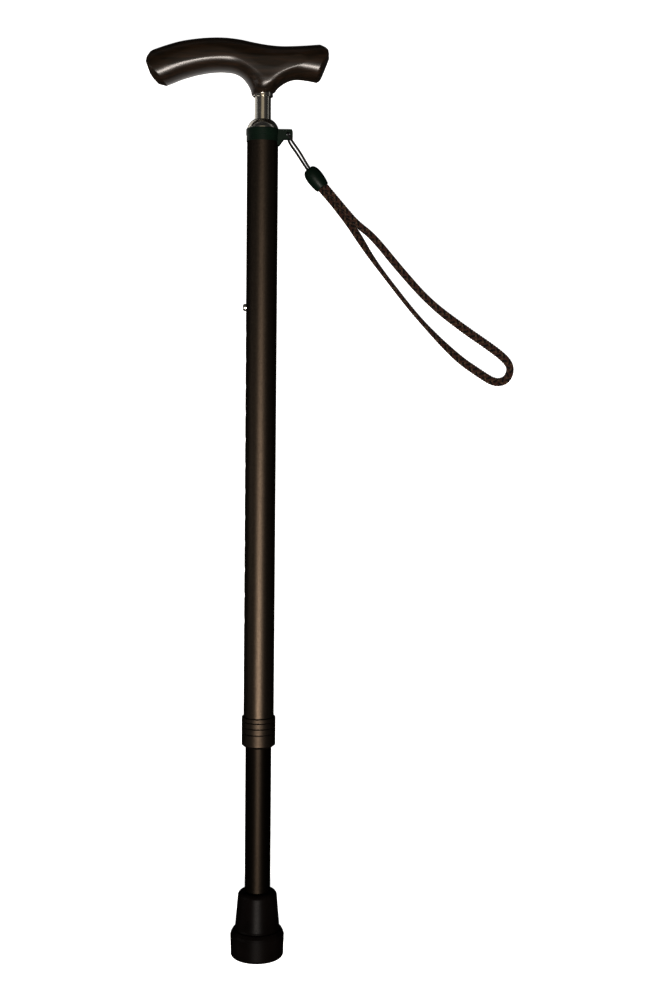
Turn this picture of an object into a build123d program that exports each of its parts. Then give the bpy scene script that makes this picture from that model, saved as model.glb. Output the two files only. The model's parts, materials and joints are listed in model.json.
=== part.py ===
"""A height-adjustable single point cane, lying on its side on the floor with its wrist strap laid out.

Millimetres, +Z up. The shaft runs nearly along +Y, from the rubber tip to the handle, and the handle
lies along X. The origin is on the floor, under the middle of the cane without its strap. Stations
along the shaft, called s, are measured from the underside of the rubber tip.
"""
from build123d import *
import os
from math import atan, cos, degrees, pi, radians, sin, tan

os.makedirs("parts", exist_ok=True)

# ---------------------------------------------------------------- driving dimensions
UPPER_R, UPPER_BORE = 11.1, 9.9  # 7/8 inch tube
LOWER_R, LOWER_BORE = 9.525, 8.325  # 3/4 inch tube
UPPER_LOW, UPPER_HIGH = 173.2, 608.0  # the upper tube's two ends
LOWER_LOW, LOWER_HIGH = 13.8, 497.0  # the lower tube's two ends

BUTTON_S = 481.3  # the snap button, in the highest hole
HOLE_PITCH, HOLE_COUNT = 19.0, 13
HOLE_R, BUTTON_R, BUTTON_FIT = 2.9, 2.6, 0.08
BUTTON_TOP, BUTTON_DOME = 13.4, 1.5  # how far the button stands from the axis, and its rounded end

TIP_R, TIP_RIM_S, TIP_TOP = 20.0, 16.6, 50.0
TIP_FLOOR = 12.0  # bottom of the cup that the tube stands in

RING_R, RING_LOW, RING_HIGH = 12.4, 159.3, 181.9
NOSE_LOW, NOSE_R, RUNNING = 162.8, 10.7, 0.08  # the collet's nose and the clearance of running fits

COLLAR_R, COLLAR_LOW, COLLAR_HIGH = 11.8, 599.0, 608.0
LUG_REACH, LUG_HOLE_X, LUG_HOLE_S, LUG_HOLE_R = 21.4, 18.3, 604.2, 1.3

ROD_R, ROD_STUB_R, ROD_HIGH = 5.7, 4.0, 656.0
PLUG_LOW, DOME_HIGH = 584.0, 614.4
PIN_S, PIN_R = 604.0, 1.5
STEM_S, STEM_R = 632.0, 8.2  # the handle's lowest round, where it meets its chrome seat
INSERT_R, INSERT_HIGH, SEAT_R = 7.0, 653.0, 7.1

HANDLE_DEPTH = 14.5  # half the handle's thickness, front to back
HANDLE_LEFT, HANDLE_RIGHT, HANDLE_MID_S = -82.9, 46.7, 658.0
CANE_LENGTH = 671.0

BRAID_D, BRAID_GAP = 3.4, 3.7  # the braid's thickness, and its two strands' spacing where doubled
STRING_D = 1.7
BEAD_R, BEAD_END_R, BEAD_LENGTH, BEAD_CAVITY_R, BEAD_STRING_R = 6.1, 4.9, 16.6, 4.0, 2.1

# ---------------------------------------------------------------- where the cane lies
# It rests on the tip's rim and on the handle's side, so the shaft slopes down towards the handle.
SLOPE = atan((TIP_R - HANDLE_DEPTH) / (HANDLE_MID_S - TIP_RIM_S))
AXIS_X = -(HANDLE_LEFT + HANDLE_RIGHT) / 2
FOOT_Y = -CANE_LENGTH / 2
FOOT_Z = TIP_R / cos(SLOPE) + TIP_RIM_S * sin(SLOPE)

FOOT = Vector(AXIS_X, FOOT_Y, FOOT_Z)
ALONG = Vector(0, cos(SLOPE), -sin(SLOPE))  # up the shaft, from tip to handle
FACING = Vector(0, sin(SLOPE), cos(SLOPE))  # the cane's front, which faces up as it lies
SHAFT_AXIS = Axis(tuple(FOOT), tuple(ALONG))
SIDE = Plane(origin=FOOT, x_dir=(1, 0, 0), z_dir=FACING)  # sketch x is across, sketch y is s
ACROSS = Plane(origin=FOOT, x_dir=(1, 0, 0), z_dir=ALONG)  # looks along the shaft


def station(s, x=0.0):
    """A point at station s, x to the right of the shaft's axis."""
    return FOOT + ALONG * s + Vector(x, 0, 0)


def facing_left(s):
    """A plane at station s that looks out of the shaft's left side, where the button is."""
    return Plane(origin=station(s), x_dir=ALONG, z_dir=(-1, 0, 0))


PIN_PLANE = Plane(origin=station(PIN_S), x_dir=(1, 0, 0), z_dir=FACING)  # the cross pin's


def keep(piece, label):
    """Labels a finished piece and writes it."""
    piece.part.label = label
    export_step(piece.part, f"parts/{label}.step")


def turned(label, *outline):
    """A piece turned about the shaft's axis, from (radius, s) corners."""
    with BuildPart() as piece:
        with BuildSketch(SIDE):
            with BuildLine():
                Polyline(*outline, close=True)
            make_face()
        revolve(axis=SHAFT_AXIS)
    keep(piece, label)


def sleeve(low, high, bore, radius):
    """The four corners of a plain sleeve's outline."""
    return (bore, low), (radius, low), (radius, high), (bore, high)


# ---------------------------------------------------------------- upper tube
with BuildPart() as upper_tube:
    with BuildSketch(ACROSS.offset(UPPER_LOW)):
        Circle(UPPER_R)
        Circle(UPPER_BORE, mode=Mode.SUBTRACT)
    extrude(amount=UPPER_HIGH - UPPER_LOW)
    for step in range(HOLE_COUNT):
        with BuildSketch(facing_left(BUTTON_S - HOLE_PITCH * step)):
            Circle(HOLE_R)
        extrude(amount=2 * UPPER_R, mode=Mode.SUBTRACT)
    with BuildSketch(PIN_PLANE):
        Circle(PIN_R)
    extrude(amount=2 * UPPER_R, both=True, mode=Mode.SUBTRACT)
keep(upper_tube, "upper_tube")

# ---------------------------------------------------------------- length lock
COLLET_BORE = LOWER_R + RUNNING
COLLET_HIGH, SLOT_WIDTH, SLOT_TOP = 193.0, 1.2, 170.0
with BuildPart() as lock_collet:
    with BuildSketch(SIDE):
        with BuildLine():
            Polyline(
                (COLLET_BORE, NOSE_LOW),
                (NOSE_R - 0.7, NOSE_LOW),
                (NOSE_R, NOSE_LOW + 1.5),
                (NOSE_R, UPPER_LOW),
                (UPPER_BORE, UPPER_LOW),
                (UPPER_BORE, COLLET_HIGH),
                (COLLET_BORE, COLLET_HIGH),
                close=True,
            )
        make_face()
    revolve(axis=SHAFT_AXIS)
    for turn in (45, 135):  # two crossed cuts leave four springy fingers
        with BuildSketch(ACROSS.offset(NOSE_LOW)):
            Rectangle(3 * NOSE_R, SLOT_WIDTH, rotation=turn)
        extrude(amount=SLOT_TOP - NOSE_LOW, mode=Mode.SUBTRACT)
keep(lock_collet, "lock_collet")

RING_MOUTH, RING_BEVEL, RING_BEVEL_R = 9.85, 1.8, 10.15
GROOVES, GROOVE_HALF, GROOVE_DEPTH = (178.6, 174.3, 169.8), 0.55, 0.45
with BuildPart() as lock_ring:
    with BuildSketch(SIDE):
        with BuildLine():
            Polyline(
                (RING_MOUTH, RING_LOW),
                (RING_BEVEL_R, RING_LOW),
                (RING_R, RING_LOW + RING_BEVEL),
                (RING_R, RING_HIGH - 0.4),
                (RING_R - 0.3, RING_HIGH),
                (UPPER_R + RUNNING, RING_HIGH),
                (UPPER_R + RUNNING, UPPER_LOW - 0.3),
                (NOSE_R + RUNNING, UPPER_LOW - 0.3),
                (NOSE_R + RUNNING, NOSE_LOW),
                (RING_MOUTH, NOSE_LOW - 1.2),
                close=True,
            )
        make_face()
        for s in GROOVES:
            with BuildLine():
                Polyline(
                    (RING_R + 0.2, s - GROOVE_HALF),
                    (RING_R - GROOVE_DEPTH, s),
                    (RING_R + 0.2, s + GROOVE_HALF),
                    close=True,
                )
            make_face(mode=Mode.SUBTRACT)
    revolve(axis=SHAFT_AXIS)
keep(lock_ring, "lock_ring")

# ---------------------------------------------------------------- lower tube and what it carries
with BuildPart() as lower_tube:
    with BuildSketch(ACROSS.offset(LOWER_LOW)):
        Circle(LOWER_R)
        Circle(LOWER_BORE, mode=Mode.SUBTRACT)
    extrude(amount=LOWER_HIGH - LOWER_LOW)
    with BuildSketch(facing_left(BUTTON_S)):
        Circle(BUTTON_R + BUTTON_FIT)
    extrude(amount=2 * LOWER_R, mode=Mode.SUBTRACT)
keep(lower_tube, "lower_tube")

BUSH_R, BUSH_BORE, BUSH_LOW, BUSH_HIGH = UPPER_BORE - 0.06, 5.5, 490.0, 505.0
O_RING_S, O_RING_HALF, O_RING_SEAT = 501.0, 1.0, 8.8
turned(
    "guide_bush",
    (BUSH_BORE, BUSH_LOW),
    (LOWER_BORE, BUSH_LOW),
    (LOWER_BORE, LOWER_HIGH),
    (BUSH_R, LOWER_HIGH),
    (BUSH_R, O_RING_S - O_RING_HALF),
    (O_RING_SEAT, O_RING_S - O_RING_HALF),
    (O_RING_SEAT, O_RING_S + O_RING_HALF),
    (BUSH_R, O_RING_S + O_RING_HALF),
    (BUSH_R, BUSH_HIGH - 1),
    (BUSH_R - 1, BUSH_HIGH),
    (BUSH_BORE, BUSH_HIGH),
)

O_RING_R = (UPPER_BORE - 0.02 - O_RING_SEAT) / 2
with BuildPart() as rattle_ring:
    with BuildSketch(SIDE):
        with Locations((O_RING_SEAT + O_RING_R, O_RING_S)):
            Circle(O_RING_R)
    revolve(axis=SHAFT_AXIS)
keep(rattle_ring, "rattle_ring")

LEAF_X, LEAF_THICK, LEAF_WIDTH = 6.8, 0.8, 8.0
LEAF_BEND_S, LEAF_TOP, LEAF_BACK_TOP = 446.0, 485.5, 475.0
with BuildPart() as snap_spring:
    with BuildSketch(SIDE):
        with BuildLine() as leaf:
            Line((-LEAF_X, LEAF_TOP), (-LEAF_X, LEAF_BEND_S))
            RadiusArc((-LEAF_X, LEAF_BEND_S), (LEAF_X, LEAF_BEND_S), -LEAF_X)
            Line((LEAF_X, LEAF_BEND_S), (LEAF_X, LEAF_BACK_TOP))
        trace(line_width=LEAF_THICK)
    extrude(amount=LEAF_WIDTH / 2, both=True)
keep(snap_spring, "snap_spring")

LEAF_FACE = LEAF_X + LEAF_THICK / 2
with BuildPart() as snap_button:
    with BuildSketch(facing_left(BUTTON_S).offset(LEAF_FACE)):
        Circle(BUTTON_R)
    extrude(amount=BUTTON_TOP - LEAF_FACE)
    fillet(snap_button.edges().sort_by(Axis.X)[0], BUTTON_DOME)
keep(snap_button, "snap_button")

END_PLUG_HIGH, END_PLUG_BORE = LOWER_LOW + 8.0, 2.5
TIP_WASHER_BORE, TIP_WASHER_R = 3.2, LOWER_R - 0.1
turned("lower_end_plug", *sleeve(LOWER_LOW, END_PLUG_HIGH, END_PLUG_BORE, LOWER_BORE))
turned("tip_washer", *sleeve(TIP_FLOOR, LOWER_LOW, TIP_WASHER_BORE, TIP_WASHER_R))

TREAD_GROOVES, TREAD_HALF, TREAD_DEPTH = (7.8, 11.8, 15.6), 0.7, 1.2
SOLE_R, SOLE_EDGE = 17.4, 2.2  # the flat underside and its rounded edge
NECK_R, NECK_S = 14.5, 46.3  # the tip's cone, where its rounded top starts
TIP_LIP_R, TIP_LIP_ROUND = 10.9, 3.8
SHOULDER = (
    (TIP_R, TIP_RIM_S),
    (19.5, 18.4),
    (18.5, 20.3),
    (18.1, 20.9),
    (16.9, 21.2),
    (16.5, 22.6),
    (NECK_R, NECK_S),
)
with BuildPart() as rubber_tip:
    with BuildSketch(SIDE):
        with BuildLine():
            Line((0, 0), (SOLE_R, 0))
            RadiusArc((SOLE_R, 0), (SOLE_R + SOLE_EDGE, SOLE_EDGE), -SOLE_EDGE)
            Polyline((SOLE_R + SOLE_EDGE, SOLE_EDGE), *SHOULDER)
            RadiusArc((NECK_R, NECK_S), (TIP_LIP_R, TIP_TOP), -TIP_LIP_ROUND)
            Polyline((TIP_LIP_R, TIP_TOP), (LOWER_R, TIP_TOP), (LOWER_R, TIP_FLOOR), (0, TIP_FLOOR), (0, 0))
        make_face()
        for radius in TREAD_GROOVES:
            with Locations((radius, 0)):
                Rectangle(2 * TREAD_HALF, 2 * TREAD_DEPTH, mode=Mode.SUBTRACT)
    revolve(axis=SHAFT_AXIS)
keep(rubber_tip, "rubber_tip")

# ---------------------------------------------------------------- neck
WASHER_LOW, WASHER_BORE, WASHER_R = PLUG_LOW - 1.6, 4.2, 8.5
turned("neck_washer", *sleeve(WASHER_LOW, PLUG_LOW, WASHER_BORE, WASHER_R))

with BuildPart() as neck_plug:
    with BuildSketch(ACROSS.offset(PLUG_LOW)):
        Circle(UPPER_BORE)
        Circle(ROD_R, mode=Mode.SUBTRACT)
    extrude(amount=UPPER_HIGH - PLUG_LOW)
    with BuildSketch(PIN_PLANE):
        Circle(PIN_R)
    extrude(amount=2 * UPPER_R, both=True, mode=Mode.SUBTRACT)
keep(neck_plug, "neck_plug")

SPRING_WASHER_LOW, SPRING_WASHER_R = WASHER_LOW - 2.0, 6.8
with BuildPart() as spring_washer:
    with BuildSketch(ACROSS.offset(SPRING_WASHER_LOW)):
        Circle(SPRING_WASHER_R)
        Circle(WASHER_BORE, mode=Mode.SUBTRACT)
        with Locations(((WASHER_BORE + SPRING_WASHER_R) / 2, 0)):  # the split
            Rectangle(2 * (SPRING_WASHER_R - WASHER_BORE), 0.9, rotation=8, mode=Mode.SUBTRACT)
    extrude(amount=WASHER_LOW - SPRING_WASHER_LOW)
keep(spring_washer, "spring_washer")

NUT_FLATS, NUT_LOW = 13.0, SPRING_WASHER_LOW - 6.5
with BuildPart() as neck_nut:
    with BuildSketch(ACROSS.offset(NUT_LOW)):
        RegularPolygon(radius=NUT_FLATS / 2, side_count=6, major_radius=False)
        Circle(ROD_STUB_R, mode=Mode.SUBTRACT)
    extrude(amount=SPRING_WASHER_LOW - NUT_LOW)
keep(neck_nut, "neck_nut")

STUB_LOW = NUT_LOW - 3.0
with BuildPart() as neck_rod:
    with BuildSketch(ACROSS.offset(PLUG_LOW)):
        Circle(ROD_R)
    extrude(amount=ROD_HIGH - PLUG_LOW)
    with BuildSketch(ACROSS.offset(STUB_LOW)):
        Circle(ROD_STUB_R)
    extrude(amount=PLUG_LOW - STUB_LOW)
    with BuildSketch(PIN_PLANE):
        Circle(PIN_R)
    extrude(amount=2 * UPPER_R, both=True, mode=Mode.SUBTRACT)
keep(neck_rod, "neck_rod")

PIN_HALF, PIN_WALL, PIN_SLOT = UPPER_R - 0.4, 0.5, 0.5
with BuildPart() as neck_pin:
    with BuildSketch(PIN_PLANE):
        Circle(PIN_R)
        Circle(PIN_R - PIN_WALL, mode=Mode.SUBTRACT)
        with Locations((PIN_R, 0)):
            Rectangle(2.8 * PIN_WALL, PIN_SLOT, mode=Mode.SUBTRACT)
    extrude(amount=PIN_HALF, both=True)
keep(neck_pin, "neck_pin")

DOME_R, DOME_EDGE = 11.0, 608.5
with BuildPart() as neck_dome:
    with BuildSketch(SIDE):
        with BuildLine():
            Polyline((ROD_R, DOME_HIGH), (ROD_R, UPPER_HIGH), (DOME_R, UPPER_HIGH), (DOME_R, DOME_EDGE))
            ThreePointArc((DOME_R, DOME_EDGE), (9.1, 612.0), (ROD_R + 0.3, DOME_HIGH))
            Line((ROD_R + 0.3, DOME_HIGH), (ROD_R, DOME_HIGH))
        make_face()
    revolve(axis=SHAFT_AXIS)
keep(neck_dome, "neck_dome")

# ---------------------------------------------------------------- strap collar
LUG_LOW, LUG_HIGH, LUG_HALF, GUSSET_LOW = 600.8, 607.4, 4.0, 596.4
COLLAR_STEP_S, COLLAR_STEP = 603.0, 0.3  # below this step the collar is a little slimmer
with BuildPart() as strap_collar:
    with BuildSketch(SIDE):
        with BuildLine():
            Polyline(
                (UPPER_R, COLLAR_HIGH),
                (COLLAR_R - 0.5, COLLAR_HIGH),
                (COLLAR_R, COLLAR_HIGH - 0.5),
                (COLLAR_R, COLLAR_STEP_S + 0.4),
                (COLLAR_R - COLLAR_STEP, COLLAR_STEP_S),
                (COLLAR_R - COLLAR_STEP, COLLAR_LOW),
                (UPPER_R, COLLAR_LOW),
                close=True,
            )
        make_face()
    revolve(axis=SHAFT_AXIS)
    with BuildSketch(SIDE) as lug_outline:
        with BuildLine():
            Polyline(
                (UPPER_R - 0.6, GUSSET_LOW),
                (UPPER_R + 0.6, GUSSET_LOW),
                (UPPER_R + 3.9, LUG_LOW),
                (LUG_REACH, LUG_LOW),
                (LUG_REACH, LUG_HIGH),
                (UPPER_R - 0.6, LUG_HIGH),
                close=True,
            )
        make_face()
        fillet(lug_outline.vertices().group_by(Axis.X)[-1], 1.2)
    extrude(amount=LUG_HALF, both=True)
    with BuildSketch(ACROSS.offset(GUSSET_LOW - 1)):
        Circle(UPPER_R)
    extrude(amount=UPPER_HIGH - GUSSET_LOW + 2, mode=Mode.SUBTRACT)
    with BuildSketch(SIDE):
        with Locations((LUG_HOLE_X, LUG_HOLE_S)):
            Circle(LUG_HOLE_R)
    extrude(amount=2 * LUG_HALF, both=True, mode=Mode.SUBTRACT)
keep(strap_collar, "strap_collar")

# ---------------------------------------------------------------- handle
turned("handle_seat_ring", *sleeve(STEM_S - 1.6, STEM_S, ROD_R, SEAT_R))
turned("handle_insert", *sleeve(STEM_S, INSERT_HIGH, ROD_R, INSERT_R))

# The bar's sections: its lowest and highest point, as (x, s), and half its thickness front to back.
BAR = (
    ((-77.5, 638.0), (-83.5, 663.0), 12.8),
    ((-66.2, 639.0), (-69.6, 665.7), 14.2),
    ((-49.6, 644.5), (-51.6, 669.6), HANDLE_DEPTH),
    ((-30.2, 647.6), (-30.7, 671.0), HANDLE_DEPTH),
    ((-10.7, 645.0), (-10.7, 668.8), HANDLE_DEPTH),
    ((6.8, 642.1), (6.8, 665.5), HANDLE_DEPTH),
    ((22.4, 642.0), (23.4, 665.3), HANDLE_DEPTH),
    ((33.1, 640.9), (36.0, 666.1), 14.2),
    ((38.7, 640.3), (47.3, 664.1), 12.8),
)
# The stem's sections: s, how far the middle is from the axis, half its width, half its depth.
STEM = (
    (STEM_S, 0.0, STEM_R, STEM_R),
    (636.4, 0.2, 10.4, 9.6),
    (640.7, 1.8, 14.8, 11.6),
    (645.4, 2.5, 21.4, 13.1),
    (653.1, 2.1, 26.3, 13.8),
)
END_BEVEL = 2.6
with BuildPart() as handle_grip:
    for low, high, depth in BAR:
        lean = Vector(high[0] - low[0], 0, 0) + ALONG * (high[1] - low[1])
        middle = station((low[1] + high[1]) / 2, (low[0] + high[0]) / 2)
        with BuildSketch(Plane(origin=middle, x_dir=FACING, z_dir=FACING.cross(lean))):
            Ellipse(depth, lean.length / 2)
    loft()
    chamfer(handle_grip.edges().group_by(Axis.X)[0] + handle_grip.edges().group_by(Axis.X)[-1], END_BEVEL)
    for s, shift, across, depth in STEM:
        with BuildSketch(Plane(origin=station(s, shift), x_dir=(1, 0, 0), z_dir=ALONG)):
            Ellipse(across, depth)
    loft()
    with BuildSketch(ACROSS.offset(STEM_S)):
        Circle(INSERT_R)
    extrude(amount=ROD_HIGH + 2 - STEM_S, mode=Mode.SUBTRACT)
keep(handle_grip, "handle_grip")


# ---------------------------------------------------------------- wrist strap
def corner_radii(route):
    """Each corner's radius: 0.45 of its shorter run, over the tangent of half its turn."""
    radii = []
    for before, corner, after in zip(route, route[1:], route[2:]):
        run_in, run_out = corner - before, after - corner
        shorter = min(run_in.length, run_out.length)
        radii.append(0.45 * shorter / tan(radians(run_in.get_angle(run_out)) / 2))
    return radii


def from_foot(points):
    """Points as (x from the shaft's axis, y from the tip, height over the floor), in the cane's frame."""
    return [Vector(AXIS_X + x, FOOT_Y + y, z) for x, y, z in points]


def cord(label, points, diameter):
    """A cord's tube along straight runs joined by arcs."""
    route = from_foot(points)
    radii = corner_radii(route)
    with BuildPart() as tube:
        with BuildLine() as path:
            spine = FilletPolyline(*route, radius=radii)
        with BuildSketch(Plane(origin=spine @ 0, z_dir=spine % 0)):
            Circle(diameter / 2)
        sweep()
    keep(tube, label)
    swept = pi * diameter**2 / 4 * spine.length
    print(label, "length", round(spine.length, 1), "radii", [round(r, 1) for r in radii])
    print(label, "volume over section x length", round(tube.part.volume / swept, 4))


BEAD_TOP = Vector(32.7, 581.1, BEAD_R)  # where the string leaves the bead
BEAD_AXIS = Vector(0.627, -0.779, 0).normalized()  # towards the braid
BEAD_SIDE = Vector(0.779, 0.627, 0).normalized()
CRIMP_AT, CRIMP_LONG = 6.0, 3.5
STRING_ASIDE, BRAID_ASIDE = 0.9, BRAID_GAP / 2
FLAT_Z = BRAID_D / 2 + 0.05


def bead_point(down, aside):
    """A point in the bead or in line with it: down from its string end, aside from its axis."""
    return tuple(BEAD_TOP + BEAD_AXIS * down + BEAD_SIDE * aside)


STRING_ROUTE = [
    bead_point(CRIMP_AT, -STRING_ASIDE),
    bead_point(-1, -STRING_ASIDE),
    (24.0, 592.4, 7.0),
    (18.4, 599.6, 8.9),
    (18.2, 603.6, 9.4),
    (18.3, 604.3, 12.2),
    (18.3, 604.3, 17.8),
    (18.5, 603.5, 20.5),
    (20.6, 599.6, 20.3),
    (27.2, 591.6, 12.8),
    bead_point(-1, STRING_ASIDE),
    bead_point(CRIMP_AT, STRING_ASIDE),
]
BRAID_ROUTE = [
    bead_point(CRIMP_AT + CRIMP_LONG, BRAID_ASIDE),
    bead_point(BEAD_LENGTH, BRAID_ASIDE),
    (56.6, 555.6, 2.4),
    (67.6, 543.0, FLAT_Z),
    (80.0, 534.0, FLAT_Z),
    (100.0, 510.2, FLAT_Z),
    (122.0, 486.4, FLAT_Z),
    (147.4, 467.8, FLAT_Z),
    (166.0, 455.6, FLAT_Z),
    (178.4, 446.4, FLAT_Z),
    (182.6, 439.4, FLAT_Z),
    (179.6, 430.8, FLAT_Z),
    (171.0, 428.6, FLAT_Z),
    (160.0, 435.2, FLAT_Z),
    (142.0, 447.2, FLAT_Z),
    (114.0, 474.8, FLAT_Z),
    (91.6, 502.4, FLAT_Z),
    (78.4, 519.6, FLAT_Z),
    (69.4, 533.6, FLAT_Z),
    (62.6, 543.4, FLAT_Z),
    (51.8, 556.5, 2.4),
    bead_point(BEAD_LENGTH, -BRAID_ASIDE),
    bead_point(CRIMP_AT + CRIMP_LONG, -BRAID_ASIDE),
]
cord("strap_string", STRING_ROUTE, STRING_D)
cord("wrist_cord", BRAID_ROUTE, BRAID_D)

BEAD_FOOT = from_foot([BEAD_TOP])[0]
BEAD_PLANE = Plane(origin=BEAD_FOOT, x_dir=(0, 0, 1), z_dir=BEAD_AXIS)
BEAD_PROFILE = Plane(origin=BEAD_FOOT, x_dir=BEAD_SIDE, z_dir=BEAD_SIDE.cross(BEAD_AXIS))
with BuildPart() as strap_bead:
    with BuildSketch(BEAD_PROFILE):
        with BuildLine():
            Polyline((0, BEAD_LENGTH), (0, 0), (BEAD_END_R, 0))
            ThreePointArc((BEAD_END_R, 0), (BEAD_R, BEAD_LENGTH / 2), (BEAD_END_R, BEAD_LENGTH))
            Line((BEAD_END_R, BEAD_LENGTH), (0, BEAD_LENGTH))
        make_face()
    revolve(axis=Axis(tuple(BEAD_FOOT), tuple(BEAD_AXIS)))
    with BuildSketch(BEAD_PLANE):
        Circle(BEAD_STRING_R)
    extrude(amount=CRIMP_AT, mode=Mode.SUBTRACT)
    with BuildSketch(BEAD_PLANE.offset(CRIMP_AT)):
        Circle(BEAD_CAVITY_R)
    extrude(amount=BEAD_LENGTH - CRIMP_AT, mode=Mode.SUBTRACT)
keep(strap_bead, "strap_bead")

with BuildPart() as strap_crimp:
    with BuildSketch(BEAD_PLANE.offset(CRIMP_AT)):
        Circle(BEAD_CAVITY_R)
    extrude(amount=CRIMP_LONG)
keep(strap_crimp, "strap_crimp")

print("slope of the shaft, degrees:", round(degrees(SLOPE), 4))
print("foot of the axis:", tuple(round(v, 3) for v in FOOT))
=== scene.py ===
"""Looks for the single point cane: wooden handle, bronze tubes, rubber tip and braided wrist strap."""
import json
import math

import bmesh
import bpy
import numpy as np
from mathutils import Matrix, Vector


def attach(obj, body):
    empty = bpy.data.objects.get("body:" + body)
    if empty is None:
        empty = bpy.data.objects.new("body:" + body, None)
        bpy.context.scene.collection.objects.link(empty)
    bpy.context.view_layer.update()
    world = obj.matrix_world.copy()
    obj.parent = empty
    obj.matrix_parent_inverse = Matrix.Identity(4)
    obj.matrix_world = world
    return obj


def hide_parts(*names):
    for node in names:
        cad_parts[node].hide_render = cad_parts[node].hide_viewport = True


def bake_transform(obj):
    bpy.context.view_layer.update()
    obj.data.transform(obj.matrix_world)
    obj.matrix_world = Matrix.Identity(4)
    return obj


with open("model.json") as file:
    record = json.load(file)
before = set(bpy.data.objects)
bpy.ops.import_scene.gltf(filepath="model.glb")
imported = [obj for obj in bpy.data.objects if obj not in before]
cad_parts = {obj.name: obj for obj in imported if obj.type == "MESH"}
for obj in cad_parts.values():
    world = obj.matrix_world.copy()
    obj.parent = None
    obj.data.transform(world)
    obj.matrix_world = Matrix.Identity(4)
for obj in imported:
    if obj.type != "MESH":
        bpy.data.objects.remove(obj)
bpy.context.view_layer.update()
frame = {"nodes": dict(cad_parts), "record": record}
NODES = frame["nodes"]
MM = 0.001
scene = bpy.context.scene


def add(name, data):
    """A new object in the scene."""
    made = bpy.data.objects.new(name, data)
    scene.collection.objects.link(made)
    return made


# ---------------------------------------------------------------- where the cane lies
AXIS_X, FOOT_Y, FOOT_Z = 18.1, -335.5, 20.143  # the shaft's axis at the tip's underside, in mm
FOOT = Vector((AXIS_X, FOOT_Y, FOOT_Z)) * MM
SLOPE = math.radians(0.4913)  # the shaft slopes down towards the handle
ALONG = Vector((0, math.cos(SLOPE), -math.sin(SLOPE)))
FACING = Vector((0, math.sin(SLOPE), math.cos(SLOPE)))
ACROSS = Vector((1, 0, 0))


def station(s, x=0.0, z=0.0):
    """A point s mm up the shaft from the tip's underside, x mm to its right and z mm in front."""
    return FOOT + (ALONG * s + ACROSS * x + FACING * z) * MM


# ---------------------------------------------------------------- camera
CAMERA_X = 53.5  # how far right of the shaft's axis the camera stands, in mm
CAMERA_STATION, AIM_STATION = 447.7, 342.7  # the stations that it stands over and looks at
CAMERA_HEIGHT = 1.09  # metres over the shaft's axis
CAMERA_ROLL = math.radians(0.65)
camera = add("camera", bpy.data.cameras.new("camera"))
camera.data.lens, camera.data.sensor_width = 54.02, 36.0
camera.data.clip_start, camera.data.clip_end = 0.01, 100
camera.location = station(CAMERA_STATION, CAMERA_X) + Vector((0, 0, CAMERA_HEIGHT))
look = (station(AIM_STATION, CAMERA_X) - camera.location).normalized()
level = look.cross(Vector((0, 1, 0))).normalized()
right = level * math.cos(CAMERA_ROLL) + level.cross(look) * math.sin(CAMERA_ROLL)
up = level.cross(look) * math.cos(CAMERA_ROLL) - level * math.sin(CAMERA_ROLL)
camera.rotation_mode = "QUATERNION"
camera.rotation_quaternion = Matrix((right, up, -look)).transposed().to_quaternion()
scene.camera = camera


# ---------------------------------------------------------------- materials
DRAWN = (1, 0.02, 1)  # draws a texture out along the shaft
WOOD_GRAIN, WOOD_PORES = (0.10, 1, 1), (0.04, 1, 1)  # draw one out along the handle's bar


class Material:
    """A node material: a Principled shader plus the textures that feed it."""

    SHORT_NAMES = {"coat": "Coat Weight", "specular": "Specular IOR Level"}

    def __init__(self, name, **sockets):
        self.data = bpy.data.materials.new(name)
        self.data.use_nodes = True
        self.tree = self.data.node_tree
        self.shader = self.tree.nodes["Principled BSDF"]
        for key, value in sockets.items():
            socket = self.SHORT_NAMES.get(key, key.replace("_", " ").title())
            is_colour = isinstance(value, tuple)
            self.shader.inputs[socket].default_value = (*value, 1.0) if is_colour else value

    def node(self, kind, inputs=None):
        made = self.tree.nodes.new(kind)
        for key, value in (inputs or {}).items():
            if isinstance(value, bpy.types.NodeSocket):
                self.tree.links.new(value, made.inputs[key])
            else:
                made.inputs[key].default_value = value
        return made

    def place(self, scale=(1, 1, 1)):
        """Object coordinates, scaled."""
        coords = self.node("ShaderNodeTexCoord").outputs["Object"]
        return self.node("ShaderNodeMapping", {"Vector": coords, "Scale": scale}).outputs["Vector"]

    def noise(self, where, scale, detail, rough=0.5, distortion=0.0):
        return self.node("ShaderNodeTexNoise", {
            "Vector": where, "Scale": scale, "Detail": detail, "Roughness": rough, "Distortion": distortion,
        }).outputs["Fac"]

    def link(self, output, name):
        self.tree.links.new(output, self.shader.inputs[name])

    def colour(self, texture, stops):
        """Colours the surface by a texture, through (place, colour) stops."""
        made = self.node("ShaderNodeValToRGB", {"Fac": texture})
        elements = made.color_ramp.elements
        while len(elements) < len(stops):
            elements.new(0.5)
        for element, (at, tone) in zip(elements, stops):
            element.position = at
            element.color = (*tone, 1.0)
        self.link(made.outputs["Color"], "Base Color")

    def mottle(self, texture, colour, low, high):
        """Colours the surface by a texture, from low times a colour to high times."""
        dark, light = (tuple(c * k for c in colour) for k in (low, high))
        self.colour(texture, [(0.3, dark), (0.7, light)])

    def roughness(self, texture, low, high):
        made = self.node("ShaderNodeMapRange", {"Value": texture, "To Min": low, "To Max": high})
        self.link(made.outputs["Result"], "Roughness")

    def bump(self, texture, distance):
        """Raises the surface by a texture, on top of any bump before it."""
        made = self.node("ShaderNodeBump", {"Height": texture, "Distance": distance})
        before = self.shader.inputs["Normal"].links
        if before:
            self.tree.links.new(before[0].from_socket, made.inputs["Normal"])
        self.link(made.outputs["Normal"], "Normal")


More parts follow.
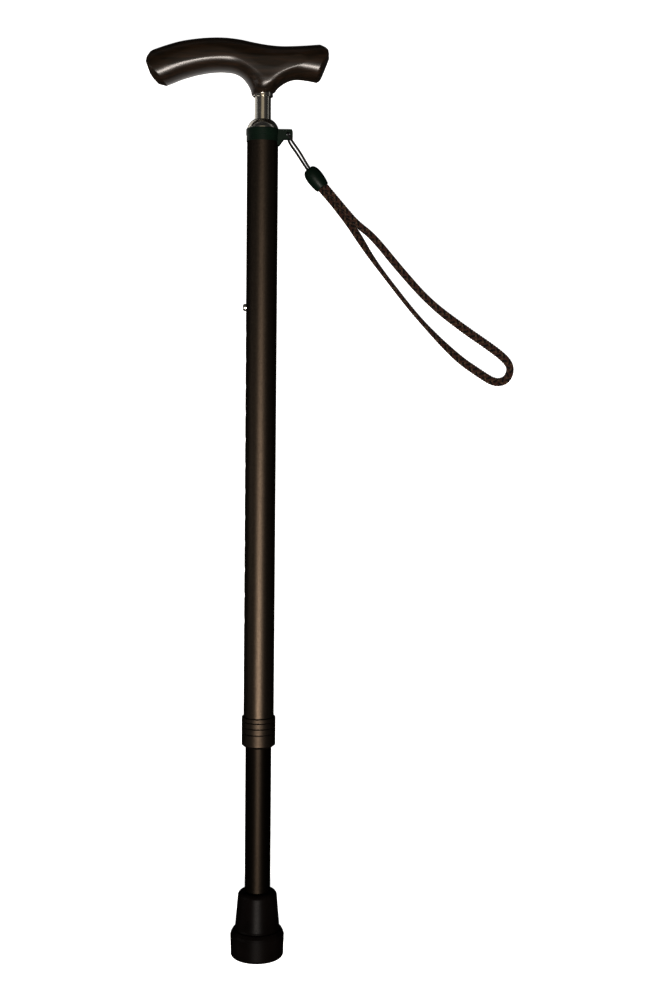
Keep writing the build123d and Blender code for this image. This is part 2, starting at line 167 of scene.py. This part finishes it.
def bronze(name, rough, tone):
    """Dark bronze anodising: a faint mottle, fine grain drawn along the tube and a satin surface."""
    m = Material(name, metallic=1.0, specular_tint=(0.16, 0.17, 0.13))
    where = m.place()
    m.mottle(m.noise(where, 700, 3), tuple(c * tone for c in (0.0165, 0.0129, 0.0097)), 0.84, 1.16)
    drawn = m.noise(m.place(DRAWN), 2500, 2)
    m.roughness(drawn, rough - 0.05, rough + 0.05)
    m.bump(drawn, 0.000004)
    m.bump(m.noise(where, 1800, 3), 0.00001)
    return m.data


def moulded(name, colour, rough, grain=1200, specular=0.12):
    """Moulded plastic or rubber with a fine grain."""
    m = Material(name, specular=specular)
    where = m.place()
    m.mottle(m.noise(where, 60, 5), colour, 0.7, 1.4)
    fine = m.noise(where, grain, 3)
    m.roughness(fine, rough - 0.07, rough + 0.07)
    m.bump(fine, 0.00003)
    return m.data


def metal(name, colour, rough, edge=0.8):
    """Bare or plated metal, drawn or turned along the shaft."""
    m = Material(name, metallic=1.0, specular_tint=(edge, edge, edge))
    streaks = m.noise(m.place(DRAWN), 1500, 3)
    m.roughness(streaks, rough * 0.7, rough * 1.3)
    m.mottle(m.noise(m.place(), 200, 4), colour, 0.93, 1)
    m.bump(streaks, 0.000003)
    return m.data


def lacquered_wood():
    """Dark stained wood under a satin lacquer: long fine grain along the bar, with open pores."""
    m = Material("lacquered_wood", specular=0.14, coat=0.05, coat_roughness=0.25)
    dark, middle, light = (0.0022, 0.0016, 0.0009), (0.0054, 0.0032, 0.0016), (0.0105, 0.0055, 0.0028)
    waves = m.noise(m.place(WOOD_GRAIN), 420, 6, 0.6, 0.4)
    m.colour(waves, [(0.32, dark), (0.5, middle), (0.72, light)])
    pores = m.noise(m.place(WOOD_PORES), 1500, 3)
    m.roughness(pores, 0.28, 0.38)
    m.bump(pores, 0.000012)
    return m.data


def yarn(name, colour):
    """Matt yarn: fine fibres, and a soft edge sheen."""
    m = Material(name, specular=0.06, sheen_weight=0.03, sheen_roughness=0.5)
    fibres = m.noise(m.place(), 3500, 3)
    m.mottle(fibres, colour, 0.5, 1.5)
    m.roughness(fibres, 0.75, 0.95)
    m.bump(fibres, 0.00006)
    return m.data


MATERIALS = {
    "bronze_tube": bronze("bronze_tube", 0.46, 1.06),
    # A darker copy of the tube bronze for the lower tube: painted shade, partly also a darker finish of its
    # own.
    "lower_bronze_painted_shade": bronze("lower_bronze_painted_shade", 0.46, 0.28),
    "bronze_ring": bronze("bronze_ring", 0.5, 0.9),
    "black_plastic": moulded("black_plastic", (0.004, 0.004, 0.004), 0.5),
    "collar_plastic": moulded("collar_plastic", (0.0011, 0.0036, 0.0020), 0.42, specular=0.06),
    "seal_rubber": moulded("seal_rubber", (0.004, 0.004, 0.004), 0.6),
    "tip_rubber": moulded("tip_rubber", (0.0010, 0.0007, 0.0006), 0.38, grain=700, specular=0.016),
    "spring_steel": metal("spring_steel", (0.42, 0.43, 0.45), 0.3),
    "zinc_steel": metal("zinc_steel", (0.6, 0.61, 0.63), 0.35),
    "polished_steel": metal("polished_steel", (0.55, 0.53, 0.48), 0.2, edge=0.35),
    "brass_insert": metal("brass_insert", (0.6, 0.44, 0.2), 0.3),
    "lacquered_wood": lacquered_wood(),
    "black_cord": yarn("black_cord", (0.004, 0.004, 0.004)),
    "brown_braid": yarn("brown_braid", (0.0016, 0.0010, 0.0007)),
    "red_yarn": yarn("red_yarn", (0.0138, 0.0060, 0.0040)),
    "tan_yarn": yarn("tan_yarn", (0.0225, 0.0148, 0.0090)),
}
# The lower tube gets a darker copy of the bronze: painted shade for the dimmer light on it, partly also a
# darker finish of its own. The insert's rim is plated like the ring below.
OWN_LOOK = {"lower_tube": "lower_bronze_painted_shade", "handle_insert": "polished_steel"}
for part in frame["record"]["subparts"]:
    mesh = NODES[part["node"]].data
    mesh.materials.clear()
    mesh.materials.append(MATERIALS[OWN_LOOK.get(part["node"], part["material_slot"])])


# ---------------------------------------------------------------- mesh helpers
def outward(mesh):
    """Turns a closed mesh's faces to look outwards."""
    work = bmesh.new()
    work.from_mesh(mesh)
    bmesh.ops.recalc_face_normals(work, faces=work.faces)
    work.to_mesh(mesh)
    work.free()


def piece(name, verts, faces, material, body, replaced):
    """A closed mesh piece in metres in the place of CAD nodes, riding on a CAD body if one is named."""
    mesh = bpy.data.meshes.new(name)
    mesh.from_pydata([tuple(v) for v in verts], [], [tuple(int(i) for i in f) for f in faces])
    mesh.validate()
    mesh.shade_smooth()
    mesh.materials.append(MATERIALS[material])
    outward(mesh)
    made = add(name, mesh)
    if body:
        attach(made, body)
    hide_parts(*replaced)
    return made


FILLET_POINTS = 5


def rounded(corners):
    """The points of an outline of (radius, station, fillet) corners, with every corner rounded off."""
    points = []
    for i, (r, s, fillet) in enumerate(corners):
        here = np.array((r, s), float)
        before, after = (np.array(corners[(i + k) % len(corners)][:2], float) - here for k in (-1, 1))
        reach = min(fillet, 0.48 * np.linalg.norm(before), 0.48 * np.linalg.norm(after))
        start, end = (here + reach * v / np.linalg.norm(v) for v in (before, after))
        for t in np.linspace(0, 1, FILLET_POINTS):
            points.append((1 - t) ** 2 * start + 2 * t * (1 - t) * here + t * t * end)
    return points


def lathe(name, corners, material, body, replaced, origin, axis, side, segments):
    """A ring-shaped piece turned about an axis from a closed outline."""
    outline = rounded(corners)
    front = side.cross(axis)
    verts, faces = [], []
    for i in range(segments):
        turn = 2 * math.pi * i / segments
        out = side * math.cos(turn) + front * math.sin(turn)
        verts += [origin + (out * float(r) + axis * float(s)) * MM for r, s in outline]
    n = len(outline)
    for i in range(segments):
        j = (i + 1) % segments
        faces += [(i * n + k, i * n + (k + 1) % n, j * n + (k + 1) % n, j * n + k) for k in range(n)]
    return piece(name, verts, faces, material, body, replaced)


def flow(knots, x):
    """A smooth curve through (x, y) knots, by cubic pieces, at the places x."""
    xs, ys = np.array(knots, float).T
    slopes = np.gradient(ys, xs)
    k = np.clip(np.searchsorted(xs, x) - 1, 0, len(xs) - 2)
    width = xs[k + 1] - xs[k]
    t = np.clip((x - xs[k]) / width, 0, 1)
    return (
        (2 * t**3 - 3 * t**2 + 1) * ys[k]
        + (t**3 - 2 * t**2 + t) * width * slopes[k]
        + (3 * t**2 - 2 * t**3) * ys[k + 1]
        + (t**3 - t**2) * width * slopes[k + 1]
    )


def surface_net(field, low, high, cell):
    """Points and quads on the surface where a field of (x, y, z) is zero, inside being below zero."""
    axes = [np.arange(a, b + cell, cell) for a, b in zip(low, high)]
    grid = np.meshgrid(*axes, indexing="ij")
    value = field(*grid)
    cells = tuple(n - 1 for n in value.shape)
    total, hits = np.zeros((*cells, 3)), np.zeros(cells)
    edges = []
    # Each edge of the grid that the surface cuts gives its cut to the four cells round it.
    for axis in range(3):
        near, far = [slice(None)] * 3, [slice(None)] * 3
        near[axis], far[axis] = slice(0, -1), slice(1, None)
        a, b = value[tuple(near)], value[tuple(far)]
        cut = (a < 0) != (b < 0)
        place = [g[tuple(near)] for g in grid]
        place[axis] = place[axis] + cell * np.where(cut, a / np.where(cut, a - b, 1), 0)
        u, v = [k for k in range(3) if k != axis]
        edges.append((axis, u, v, cut, a < 0))
        for du in (0, 1):
            for dv in (0, 1):
                window = [slice(None)] * 3
                window[u], window[v] = slice(du, du + cells[u]), slice(dv, dv + cells[v])
                window = tuple(window)
                hits += cut[window]
                for k in range(3):
                    total[..., k] += np.where(cut[window], place[k][window], 0)
    used = hits > 0
    index = np.full(cells, -1)
    index[used] = np.arange(used.sum())
    faces = []
    # Each of those edges then has a quad across it, which joins the points of its four cells.
    for axis, u, v, cut, rising in edges:
        at = np.argwhere(cut)
        at = at[(at[:, u] > 0) & (at[:, v] > 0) & (at[:, u] < cells[u]) & (at[:, v] < cells[v])]
        quad = []
        for du, dv in ((1, 1), (0, 1), (0, 0), (1, 0)):
            c = at.copy()
            c[:, u] -= du
            c[:, v] -= dv
            quad.append(index[tuple(c.T)])
        quad = np.stack(quad, 1)
        forwards = rising[tuple(at.T)] != (axis == 1)
        quad[~forwards] = quad[~forwards][:, ::-1]
        faces.append(quad)
    means = total[used] / hits[used][:, None]
    return means, np.concatenate(faces)


EVENING_ROUNDS, RETURN_STEPS = 6, 2
LEAST_SLOPE = 0.05  # keeps a point from leaping where the field is nearly level


def evened(points, faces, field, cell):
    """A net's points spread more evenly, and brought back to the field's surface after each round."""
    ends = np.concatenate([faces[:, [k, (k + 1) % 4]] for k in range(4)])
    step = 0.05 * cell
    for _ in range(EVENING_ROUNDS):
        moved, count = np.zeros_like(points), np.zeros(len(points))
        for a, b in ((0, 1), (1, 0)):
            np.add.at(moved, ends[:, a], points[ends[:, b]])
            np.add.at(count, ends[:, a], 1)
        points = moved / count[:, None]
        for _ in range(RETURN_STEPS):
            here = field(*points.T)
            rise = [field(*(points + step * way).T) - field(*(points - step * way).T) for way in np.eye(3)]
            slope = np.stack(rise, 1) / (2 * step)
            points = points - slope * (here / np.maximum((slope**2).sum(1), LEAST_SLOPE))[:, None]
    return points


# ---------------------------------------------------------------- wooden handle
# The bar's top and bottom lines and its half depth, as (x from the shaft's axis, value).
BAR_TOP = [
    (-92, 656.2), (-80, 661.2), (-67.7, 665.5), (-58.6, 668.0), (-47.7, 669.8), (-36.9, 670.7), (-26, 670.7),
    (-16, 669.6), (-6, 667.6), (4, 666.0), (13, 665.3), (21, 665.4), (30, 665.9), (38, 666.6), (52, 667.6),
]
BAR_LOW = [
    (-92, 628.6), (-78, 634.2), (-70.4, 637.0), (-64.9, 639.1), (-57.7, 642.0), (-51.3, 644.0), (-44, 645.8),
    (-37.7, 646.9), (-31.3, 647.4), (-22, 647.0), (-10, 645.4), (0, 644.0), (10, 643.0), (18, 642.8),
    (25.9, 642.7), (33.1, 641.8), (40, 640.3), (52, 637.2),
]
BAR_DEPTH = [
    (-92, 12.4), (-80, 13.0), (-66, 14.0), (-50, 14.3), (-32, 14.3),
    (-16, 13.9), (12, 13.7), (24, 14.1), (36, 13.6), (52, 12.4),
]
BAR_POWER = 2.25  # how square its sections are, 2 being an ellipse
# The flat cuts at the bar's ends: a point (x, station), the way each faces, and the width of its bevel.
END_CUTS = [
    ((-82.4, 652.0), (-1.0, 0.04), 2.6),
    ((-76.6, 641.4), (-0.74, -0.67), 3.2),
    ((-80.6, 660.2), (-0.7, 0.7), 1.0),
    ((43.0, 649.9), (0.93, -0.37), 1.6),
    ((44.4, 664.2), (0.74, 0.67), 1.6),
]
# The stem's sections, as (station, value): their middle, half width and half depth.
STEM_MID = [(628, 0), (634, 0), (637.4, 0.1), (640.3, 0.5), (643, 1.1), (648, 1.5), (658, 1.5)]
STEM_WIDE = [(628, 8.2), (633, 8.3), (637.4, 10.2), (640.3, 12.6), (643, 15.4), (648, 20.0), (658, 24)]
STEM_DEEP = [
    (628, 5.5), (632, 8.6), (635, 11.6), (638, 13.1), (641, 13.7), (645, 14.0), (650, 14.1), (660, 14.1),
]
STEM_POWER = 2.8  # how square they are at the top
SQUARE_FROM, SQUARE_OVER = 634, 10  # round up to here, then squarer over this length
STEM_RIDGE = 3.0  # how far right of its middle the stem stands deepest
RIDGE_FROM, RIDGE_OVER = 632, 8
STEM_FIELD = 0.85  # brings the stem's field near to true distances
STEM_TOP = 656.0
STEM_BOTTOM, BOTTOM_TILT, BOTTOM_BEVEL = 632.2, 0.17, 0.7
BLEND = 5.0  # how softly the stem flows into the bar
FULL_DEPTH, FULL_BEVEL = 14.35, 0.5  # the flat of the front and the back, where the stem meets the bar
HANDLE_LOW, HANDLE_HIGH = (-90, 628, -17), (52, 674, 17)  # corners of the box in which it is looked for
HANDLE_CELL = 0.75


def cut_off(field, plane, bevel):
    """A field cut off by a plane, with a bevel along the cut's edge."""
    return np.maximum(np.maximum(field, plane), (field + plane + bevel) * math.sqrt(0.5))


def bar_field(x, s, z):
    """The bar alone: below zero inside it, and rising outwards."""
    top, low, deep = flow(BAR_TOP, x), flow(BAR_LOW, x), flow(BAR_DEPTH, x)
    half = (top - low) / 2
    reach = np.abs((s - (top + low) / 2) / half) ** BAR_POWER + np.abs(z / deep) ** BAR_POWER
    bar = (reach ** (1 / BAR_POWER) - 1) * half
    for (px, ps), (nx, ns), bevel in END_CUTS:
        bar = cut_off(bar, ((x - px) * nx + (s - ps) * ns) / math.hypot(nx, ns), bevel)
    return bar


def stem_field(x, s, z):
    """The stem alone, in the same way."""
    wide, deep = flow(STEM_WIDE, s), flow(STEM_DEEP, s)
    power = 2 + (STEM_POWER - 2) * np.clip((s - SQUARE_FROM) / SQUARE_OVER, 0, 1)
    ridge = STEM_RIDGE * np.clip((s - RIDGE_FROM) / RIDGE_OVER, 0, 1) * np.minimum(np.abs(z / deep), 1)
    reach = np.abs((x - flow(STEM_MID, s) - ridge) / wide) ** power + np.abs(z / deep) ** power
    stem = (reach ** (1 / power) - 1) * np.minimum(wide, deep) * STEM_FIELD
    return np.maximum(stem, s - STEM_TOP)


def handle_field(x, s, z):
    """The bar and the stem flowing into each other, cut flat in front, behind and at the bottom."""
    bar, stem = bar_field(x, s, z), stem_field(x, s, z)
    mix = np.clip(0.5 + (bar - stem) / (2 * BLEND), 0, 1)
    both = bar * (1 - mix) + stem * mix - BLEND * mix * (1 - mix)
    both = cut_off(both, np.abs(z) - FULL_DEPTH, FULL_BEVEL)
    return cut_off(both, STEM_BOTTOM + BOTTOM_TILT * x - s, BOTTOM_BEVEL)


points, faces = surface_net(handle_field, HANDLE_LOW, HANDLE_HIGH, HANDLE_CELL)
points = evened(points, faces, handle_field, HANDLE_CELL)
verts = [station(s, x, z) for x, s, z in points]
piece("handle_wood", verts, faces, "lacquered_wood", "shaft", ["handle_grip"])

# ---------------------------------------------------------------- wrist strap
BEAD_TOP = Vector((32.7, 581.1, 6.1))  # from the shaft's axis, the tip's underside and the floor
BEAD_AXIS = Vector((0.627, -0.779, 0)).normalized()  # towards the braid
BEAD_SIDE = Vector((0.779, 0.627, 0)).normalized()


def bead_point(down, aside):
    """A point down the bead from its string end, aside from its axis, in mm."""
    return tuple(BEAD_TOP + BEAD_AXIS * down + BEAD_SIDE * aside)


def from_foot(point):
    """The place in metres of a point that is given like BEAD_TOP."""
    return (Vector(point[:3]) + Vector((AXIS_X, FOOT_Y, 0))) * MM


def smooth_line(name, knots):
    """The points that Blender draws along the smooth NURBS line with these control points."""
    curve = bpy.data.curves.new(name, "CURVE")
    curve.dimensions = "3D"
    spline = curve.splines.new("NURBS")
    spline.points.add(len(knots) - 1)
    for point, knot in zip(spline.points, knots):
        point.co = (*knot, 1.0)
    spline.order_u, spline.use_endpoint_u, spline.resolution_u = 3, True, 24
    carrier = add(name, curve)
    bpy.context.view_layer.update()
    line = bpy.data.meshes.new_from_object(carrier.evaluated_get(bpy.context.evaluated_depsgraph_get()))
    points = np.array([v.co for v in line.vertices], float)
    bpy.data.objects.remove(carrier)
    bpy.data.meshes.remove(line)
    return points


def follow(name, route, spacing):
    """Evenly spaced points along a route's smooth line, how far along each is, and its lean in radians."""
    line = smooth_line(name, [from_foot(point) for point in route])
    lean = smooth_line(name + "_lean", [(math.radians(sum(point[3:])), 0, 0) for point in route])[:, 0]
    run = np.concatenate([[0], np.cumsum(np.linalg.norm(np.diff(line, axis=0), axis=1))])
    at = np.linspace(0, run[-1], round(run[-1] / spacing) + 1)
    return np.stack([np.interp(at, run, line[:, k]) for k in range(3)], 1), at, np.interp(at, run, lean)


def unit(v):
    return v / np.maximum(np.linalg.norm(v, axis=1, keepdims=True), 1e-12)


def tube(path, wide_way, thick_way, wide, thick, ring, power=2):
    """Points and faces of a closed strand along a path.

    Its half width and half thickness are in metres, and a higher power makes its section squarer.
    """
    angles = 2 * np.pi * np.arange(ring) / ring
    across, out = (np.sign(v) * np.abs(v) ** (2 / power) for v in (np.cos(angles), np.sin(angles)))
    rim = path[:, None, :] + (
        across[None, :, None] * wide * wide_way[:, None, :]
        + out[None, :, None] * thick * thick_way[:, None, :]
    )
    verts = np.concatenate([rim.reshape(-1, 3), path[:1], path[-1:]])
    count = len(path)
    faces = []
    for i in range(count - 1):
        for k in range(ring):
            a, b = i * ring + k, i * ring + (k + 1) % ring
            faces.append((a, b, b + ring, a + ring))
    first, last, last_ring = count * ring, count * ring + 1, (count - 1) * ring
    for k in range(ring):
        n = (k + 1) % ring
        faces.append((first, n, k))
        faces.append((last, last_ring + k, last_ring + n))
    return verts, faces


class Strands:
    """Several strands gathered into one mesh, each with its own material."""

    def __init__(self):
        self.verts, self.faces, self.looks, self.count = [], [], [], 0

    def add(self, verts, faces, look):
        self.verts.append(verts)
        self.faces += [tuple(i + self.count for i in f) for f in faces]
        self.looks += [look] * len(faces)
        self.count += len(verts)

    def build(self, name, materials, body, replaced):
        made = piece(name, np.concatenate(self.verts), self.faces, materials[0], body, replaced)
        for extra in materials[1:]:
            made.data.materials.append(MATERIALS[extra])
        made.data.polygons.foreach_set("material_index", self.looks)
        return made


# Each point is (x from the shaft's axis, y from the tip, height over the floor), and for the braid also the
# lean of its flat in degrees.
ON_EDGE, FLAT = 3.4, 1.9  # how high the braid's middle is where it stands on its edge or lies flat
BRAID_ROUTE = [
    (*bead_point(9.5, 1.85), 60),
    (*bead_point(16.6, 1.85), 55),
    (56.6, 555.6, 3.2, 50),
    (67.6, 543.0, 3.0, 48),
    (80.0, 534.0, 2.9, 45),
    (100.0, 510.2, 2.7, 38),
    (122.0, 486.4, 3.0, 48),
    (147.4, 467.8, 2.1, 10),
    (166.0, 455.6, FLAT, 0),
    (178.4, 446.4, 2.2, 20),
    (182.6, 439.4, 2.8, 45),
    (179.6, 430.8, 2.3, 20),
    (171.0, 428.6, FLAT, 5),
    (160.0, 435.2, FLAT, 0),
    (142.0, 447.2, 2.5, 25),
    (114.0, 474.8, ON_EDGE, 88),
    (91.6, 502.4, ON_EDGE, 90),
    (78.4, 519.6, 3.1, 62),
    (69.4, 533.6, 2.4, 25),
    (62.6, 543.4, 2.4, 28),
    (51.8, 556.5, 2.9, 45),
    (*bead_point(16.6, -1.85), 55),
    (*bead_point(9.5, -1.85), 60),
]
STRING_ROUTE = [
    bead_point(6, -0.9),
    bead_point(-1, -0.9),
    (24.0, 592.4, 7.0),
    (18.4, 599.6, 8.9),
    (18.2, 603.6, 9.4),
    (18.3, 604.3, 12.2),
    (18.3, 604.3, 17.8),
    (18.5, 603.5, 20.5),
    (20.6, 599.6, 20.3),
    (27.2, 591.6, 12.8),
    bead_point(-1, 0.9),
    bead_point(6, 0.9),
]

BRAID_WIDE, BRAID_THICK = 6.4, 3.5  # the whole braid
YARN_WIDE, YARN_THICK = 0.76, 0.44  # half a yarn's width and thickness
YARNS, BRAID_PITCH = 6, 12.0  # yarns each way round, and the length in which one goes right round
OVER = 0.36  # how far a yarn rises over the ones it crosses
YARN_LOOKS = ["brown_braid", "red_yarn", "tan_yarn"]
# Which of these looks each yarn has, by the way that it goes round.
YARN_COLOURS = {1: (0, 1, 1, 0, 2, 1), -1: (1, 0, 2, 1, 0, 1)}
BRAID_STEP = 0.5
YARN_RING = 10
path, at, lean = follow("braid_line", BRAID_ROUTE, BRAID_STEP * MM)
tangent = unit(np.gradient(path, axis=0))
side = unit(np.cross(np.array((0, 0, 1.0)), tangent))
rise = np.cross(tangent, side)
lean = lean[:, None]
flat_way, edge_way = side * np.cos(lean) + rise * np.sin(lean), rise * np.cos(lean) - side * np.sin(lean)
half_wide = (BRAID_WIDE / 2 - YARN_THICK - OVER) * MM
half_thick = (BRAID_THICK / 2 - YARN_THICK - OVER) * MM
turned = 2 * np.pi * at / (BRAID_PITCH * MM)
braid = Strands()
# Two sets of yarns go round opposite ways, and each rises over the other at every second crossing.
for way in (1, -1):
    for i in range(YARNS):
        angle = way * turned + 2 * np.pi * i / YARNS
        c, s = np.cos(angle)[:, None], np.sin(angle)[:, None]
        out = unit(c * half_thick * flat_way + s * half_wide * edge_way)
        lift = way * OVER * MM * np.cos(YARNS * turned)[:, None]
        line = path + c * half_wide * flat_way + s * half_thick * edge_way + lift * out
        along = unit(np.gradient(line, axis=0))
        out = unit(out - (out * along).sum(1, keepdims=True) * along)
        verts, faces = tube(line, np.cross(along, out), out, YARN_WIDE * MM, YARN_THICK * MM, YARN_RING)
        braid.add(verts, faces, YARN_COLOURS[way][i])
wrist_braid = braid.build("wrist_braid", YARN_LOOKS, "shaft", ["wrist_cord"])

PLIES = 3
PLY_RADIUS, PLY_OFFSET = 0.47, 0.43  # a ply's radius, and how far it lies from the string's middle
STRING_PITCH = 4.2  # the length of one turn of its twist
STRING_STEP = 0.25
PLY_RING = 8
path, at, _ = follow("string_line", STRING_ROUTE, STRING_STEP * MM)
tangent = unit(np.gradient(path, axis=0))
# The normal is carried along the string without turning round it.
normal = np.zeros_like(path)
normal[0] = np.cross(tangent[0], (0, 0, 1.0))
for i in range(1, len(path)):
    moved = normal[i - 1] - tangent[i] * (normal[i - 1] @ tangent[i])
    normal[i] = moved / np.linalg.norm(moved)
binormal = np.cross(tangent, normal)
string = Strands()
for ply in range(PLIES):
    angle = (2 * np.pi * (at / (STRING_PITCH * MM) + ply / PLIES))[:, None]
    line = path + (np.cos(angle) * normal + np.sin(angle) * binormal) * PLY_OFFSET * MM
    verts, faces = tube(line, normal, binormal, PLY_RADIUS * MM, PLY_RADIUS * MM, PLY_RING)
    string.add(verts, faces, 0)
strap_loop = string.build("string_loop", ["black_cord"], "shaft", ["strap_string"])

# The bead: a slim mouth round the string, a barrel, and a wide mouth round the braid.
BEAD_OUTLINE = [
    (2.0, 0.0, 0.2),
    (3.4, 0.0, 0.5),
    (4.8, 1.3, 1.0),
    (5.8, 4.0, 2.0),
    (6.1, 7.2, 2.5),
    (5.9, 11.6, 2.0),
    (5.3, 15.4, 1.2),
    (4.9, 16.6, 0.5),
    (4.0, 16.6, 0.3),
    (4.0, 11.0, 0.5),
    (2.0, 7.0, 0.5),
]
lathe(
    "bead_barrel", BEAD_OUTLINE, "collar_plastic", "shaft", ["strap_bead"],
    origin=from_foot(BEAD_TOP), axis=BEAD_AXIS, side=BEAD_SIDE, segments=72,
)

# ---------------------------------------------------------------- leaf spring
# The spring is one leaf: a long leg, a bend and a short leg.
LEAF_X, LEAF_THICK, LEAF_WIDTH = 6.8, 0.8, 8.0
LEAF_BEND, LEAF_TOP, LEAF_BACK_TOP = 446.0, 485.5, 475.0
LEAF_POINTS, BEND_POINTS, BACK_POINTS, LEAF_RING = 40, 25, 12, 28
LEAF_POWER = 9  # nearly a rectangle
# The long leg runs up to the button's foot, and the short leg ends lower.
bend = np.linspace(0, math.pi, BEND_POINTS)[1:-1]
leaf_line = [(-LEAF_X, s) for s in np.linspace(LEAF_TOP, LEAF_BEND, LEAF_POINTS)]
leaf_line += [(-LEAF_X * math.cos(a), LEAF_BEND - LEAF_X * math.sin(a)) for a in bend]
leaf_line += [(LEAF_X, s) for s in np.linspace(LEAF_BEND, LEAF_BACK_TOP, BACK_POINTS)]
path = np.array([station(s, x) for x, s in leaf_line])
facing = np.tile(np.array(FACING), (len(path), 1))
through = np.cross(unit(np.gradient(path, axis=0)), facing)
verts, faces = tube(path, facing, through, LEAF_WIDTH / 2 * MM, LEAF_THICK / 2 * MM, LEAF_RING, LEAF_POWER)
leaf = piece("snap_leaf", verts, faces, "spring_steel", None, ["snap_spring"])
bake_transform(leaf)

# ---------------------------------------------------------------- studio
FLOOR_HALF, FLOOR_HEIGHT = 60.0, -0.0002  # metres
PALE = Material(
    "pale_floor", base_color=(0.15, 0.15, 0.15), roughness=0.9, specular=0.0,
    emission_color=(1, 1, 1), emission_strength=1.0,
).data


def sheet(name, left, right, near, far, height):
    """A level rectangle of the pale material, which belongs to the studio."""
    mesh = bpy.data.meshes.new(name)
    corners = [(left, near, height), (right, near, height), (right, far, height), (left, far, height)]
    mesh.from_pydata(corners, [], [(0, 1, 2, 3)])
    mesh.materials.append(PALE)
    made = add(name, mesh)
    return made


floor = sheet("floor", -FLOOR_HALF, FLOOR_HALF, -FLOOR_HALF, FLOOR_HALF, FLOOR_HEIGHT)
floor.visible_glossy = False
sheet("card", -0.05, 0.003, 0.23, 0.31, 0.0)  # mirrored in the left edge of the neck rod

# A white band lies round the horizon, and the rest of the surroundings is dark.
HORIZON = 0.04  # where the horizon stands on the ramp
BAND = ((0.016, 0.04), (0.023, 1.0), (0.07, 1.0), (0.24, 0.05))  # (place on the ramp, brightness)
world = bpy.data.worlds.new("studio")
world.use_nodes = True
scene.world = world
tree = world.node_tree
direction = tree.nodes.new("ShaderNodeTexCoord")
split = tree.nodes.new("ShaderNodeSeparateXYZ")
lift = tree.nodes.new("ShaderNodeMath")
lift.inputs[1].default_value = HORIZON
ramp = tree.nodes.new("ShaderNodeValToRGB")
tree.links.new(direction.outputs["Generated"], split.inputs[0])
tree.links.new(split.outputs["Z"], lift.inputs[0])
tree.links.new(lift.outputs[0], ramp.inputs["Fac"])
tree.links.new(ramp.outputs["Color"], tree.nodes["Background"].inputs["Color"])
stops = ramp.color_ramp.elements
while len(stops) < len(BAND):
    stops.new(0.5)
for stop, (height, bright) in zip(stops, BAND):
    stop.position, stop.color = height, (bright, bright, bright, 1.0)


def softbox(name, place, aim, width, height, power, colour=(1, 1, 1)):
    """A rectangular area light that faces its aim, with its size in metres and its power in watts."""
    lamp = bpy.data.lights.new(name, "AREA")
    lamp.shape, lamp.size, lamp.size_y, lamp.energy = "RECTANGLE", width, height, power
    lamp.color = colour
    made = add(name, lamp)
    made.location = place
    made.rotation_mode = "QUATERNION"
    made.rotation_quaternion = (Vector(aim) - Vector(place)).to_track_quat("-Z", "Y")


softbox("key", (0.04, -0.58, 2.0), (0.02, -0.18, 0), 0.9, 0.45, 190, (1.0, 0.93, 0.87))
softbox("ceiling", (0.02, 0.6, 2.0), (0.02, 0.3, 0), 1.4, 1.0, 2.0, (1.0, 0.86, 0.62))
softbox("left", (-1.6, -0.1, 0.7), (0.0, 0.0, 0), 0.3, 1.2, 9)

scene.view_settings.view_transform = "Standard"
scene.view_settings.gamma = 0.8
